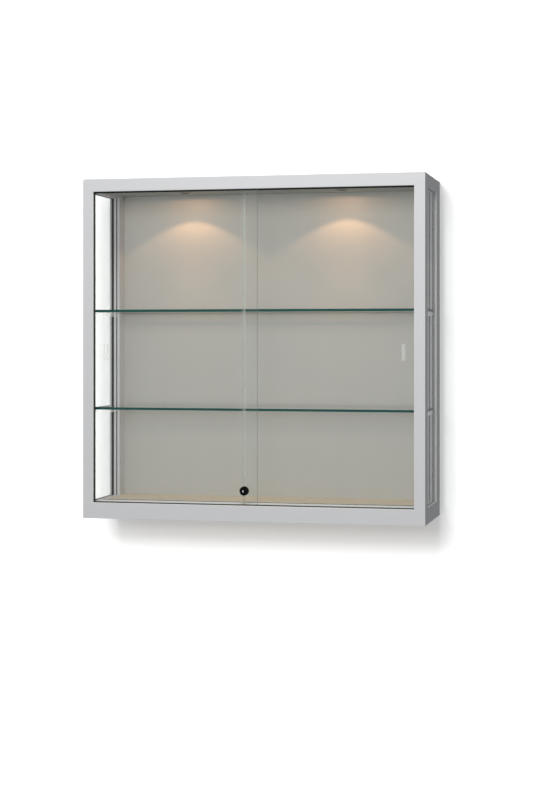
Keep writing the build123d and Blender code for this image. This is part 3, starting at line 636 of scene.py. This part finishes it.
def makeBaffle(name, lamp):
    # stepped black rings that narrow towards the lens
    low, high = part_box(lamp)
    x, y = (low[0] + high[0]) / 2, (low[1] + high[1]) / 2
    bottom, top = low[2] + baffle["low"], low[2] + baffle["high"]
    rise = (baffle["high"] - baffle["low"]) / baffle["steps"]
    shrink = (baffle["outer"] - baffle["inner"]) / baffle["steps"]
    outside = baffle["outer"] + baffle["wall"]
    outline = [(outside, bottom)]
    for step in range(baffle["steps"]):
        radius = baffle["outer"] - shrink * step
        height = bottom + rise * step
        outline += [(radius, height), (radius, height + rise)]
    outline.append((outside, top))
    rings = []
    for step in range(baffle["around"]):
        across, deep = turned(step, baffle["around"])
        rings.append([(x + across * radius, y + deep * radius, height) for radius, height in outline])
    newPiece(name, fromRings(name, rings, closed=True), "case", "flockAndShade")


coil = {"wire": 0.0005, "turns": 4, "steps": 36, "around": 8, "pressed": 0.49}


def makeSpring():
    # the return spring behind the plunger, drawn at its rest length
    low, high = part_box("lock_spring")
    wire = coil["wire"]
    middle = Vector(((low[0] + high[0]) / 2, 0, (low[2] + high[2]) / 2))
    radius = (high[0] - low[0]) / 2 - wire
    start = low[1] + wire
    length = high[1] - low[1] - 2 * wire
    along = Vector((0, 1, 0))
    count = coil["turns"] * coil["steps"]
    rings = []
    for step in range(count + 1):
        across, up = turned(step, coil["steps"])
        out = Vector((across, 0, up))
        centre = middle + along * (start + length * step / count) + out * radius
        circle = [turned(place, coil["around"]) for place in range(coil["around"])]
        rings.append([centre + (out * away + along * ahead) * wire for away, ahead in circle])
    mesh = fromRings("return_spring", rings, smooth=True)
    spring = newPiece("return_spring", mesh, "outer_door", "steel")
    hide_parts("lock_spring")
    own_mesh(spring)


makeLipShade()
makeGlareShadeStrip()
makeSpring()
makeSill()
makeSlotShades()
makePulls()
makeShutter()
for side in ("left", "right"):
    makeBaffle(side + "_lamp_baffle", side + "_lamp_bezel")
print("details made")


room = {
    "paint": (1.37, 1.37, 1.37), "paintTone": 0.99, "cloud": 1.5,  # above 1, for a clean white ground
    "floorDrop": 1.25, "size": 14.0, "wallGap": 0.0005,
    "bright": (1.0, 1.0, 1.0), "dim": (0.45, 0.46, 0.47), "strength": 0.5,
    "share": 0.5, "toRight": 0.45, "toBack": 0.5,
}


def plane(name, corners, material):
    mesh = bpy.data.meshes.new(name)
    mesh.from_pydata(corners, [], [(0, 1, 2, 3)])
    thing = bpy.data.objects.new(name, mesh)
    mesh.materials.append(material)
    scene.collection.objects.link(thing)
    for ray in ("visible_diffuse", "visible_glossy", "visible_shadow"):
        setattr(thing, ray, False)  # it is a plain ground for the view, and does not light the case


def stagePaint(name):
    # plain paint, clear from behind so that the case can be seen from every side
    sheet = newSheet(name)
    shade = sheet.blend(sheet.noise(room["cloud"]), darker(room["paint"], room["paintTone"]), room["paint"])
    paint = sheet.node("BsdfDiffuse", Color=shade)
    behind = sheet.node("NewGeometry", output="Backfacing")
    return sheet.finish(sheet.mixed(behind, paint, sheet.node("BsdfTransparent", Color=(1, 1, 1))))


def makeStage():
    wide = room["size"] / 2
    low = cadLow.z - room["floorDrop"]
    high = low + wide
    back = cadHigh.y + room["wallGap"]
    wall = [(-wide, back, low), (wide, back, low), (wide, back, high), (-wide, back, high)]
    floor = [(-wide, -wide, low), (wide, -wide, low), (wide, back, low), (-wide, back, low)]
    plane("studioWall", wall, stagePaint("wallPaint"))
    plane("studioFloor", floor, stagePaint("floorPaint"))


def makeWorld():
    # soft light all round, dimmer towards the right and the back
    world = bpy.data.worlds.new("studio")
    scene.world = world
    sheet = Sheet(world)
    way = sheet.node("TexCoord", output="Generated")
    toRight = sheet.node("SeparateXYZ", output="X", Vector=way) * room["toRight"]
    toBack = sheet.node("SeparateXYZ", output="Y", Vector=way) * room["toBack"]
    share = (room["share"] - toRight - toBack).atLeast(0.0).atMost(1.0)
    light = sheet.blend(share, room["dim"], room["bright"])
    sheet.finish(sheet.node("Background", Color=light, Strength=room["strength"]), "OutputWorld")


def addLight(kind, name, place, target, power, colour=(1, 1, 1), **settings):
    data = bpy.data.lights.new(name, kind)
    data.energy = power
    data.color = colour
    for key, value in settings.items():
        setattr(data, key, value)
    thing = bpy.data.objects.new(name, data)
    thing.location = place
    thing.rotation_euler = (Vector(target) - Vector(place)).to_track_quat("-Z", "Y").to_euler()
    scene.collection.objects.link(thing)
    return thing


softLights = {
    "frontFill": {"place": (0.05, -4.6, 1.2), "size": 1.2, "power": 65.0},
    "topKey": {"place": (0.4, -1.75, 2.5), "size": 1.2, "power": 52.0},
    "wallWash": {"place": (-0.1, -4.3, 1.8), "size": 1.4, "power": 80.0},
    "backFill": {"place": (0.0, 3.5, 1.2), "size": 1.5, "power": 70.0},
}
aimed = {  # the key light leaves out the ground and the two boards, and the wash lights the ground alone
    "topKey": ("EXCLUDE", ["studioWall", "studioFloor", "back_panel", "floor_panel"]),
    "wallWash": ("INCLUDE", ["studioWall", "studioFloor"]),
}


def aim(lamp, state, names):
    # keeps a lamp off some things, or on them alone
    chosen = bpy.data.collections.new(lamp.name + "Aim")
    for name in names:
        chosen.objects.link(bpy.data.objects[name])
    lamp.light_linking.receiver_collection = chosen
    for item in chosen.collection_objects:
        item.light_linking.link_state = state


spot = {"drop": 0.003, "forward": 0.006, "colour": (1.0, 0.55, 0.27), "radius": 0.008}
beams = {  # full angle in degrees, softness, power
    "wide": (112.0, 0.14, 0.78), "core": (64.0, 0.9, 1.1), "spill": (178.0, 0.1, 0.18),
}


def makeLights():
    middle = (cadLow + cadHigh) / 2
    for name, light in softLights.items():
        lamp = addLight("AREA", name, light["place"], middle, light["power"],
                        shape="SQUARE", size=light["size"])
        lamp.visible_glossy = False  # the satin metal and the glass mirror the room, not these lamps
        if name in aimed:
            aim(lamp, *aimed[name])
    for node in ("left_lamp_bezel", "right_lamp_bezel"):
        low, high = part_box(node)
        x, y = (low[0] + high[0]) / 2, (low[1] + high[1]) / 2 - spot["forward"]
        place = Vector((x, y, low[2] - spot["drop"]))
        below = place - Vector((0, 0, 1))
        for beam, (angle, softness, power) in beams.items():
            addLight("SPOT", node + "_" + beam, place, below, power, spot["colour"],
                     spot_size=math.radians(angle), spot_blend=softness, shadow_soft_size=spot["radius"])


view = {"place": (1.1437, -4.8868, 0.5175), "turn": 13.05, "lens": 77.04, "sensor": 36.0, "rise": -0.075}


def makeCamera():
    data = bpy.data.cameras.new("camera")
    data.lens = view["lens"]
    data.sensor_width = view["sensor"]
    data.shift_y = view["rise"]
    thing = bpy.data.objects.new("camera", data)
    thing.location = view["place"]
    thing.rotation_euler = (math.radians(90), 0, math.radians(view["turn"]))
    scene.collection.objects.link(thing)
    scene.camera = thing


makeStage()
makeWorld()
makeLights()
makeCamera()
scene.view_settings.view_transform = "Standard"
scene.cycles.transparent_max_bounces = 32
print("stage, lights and camera made")
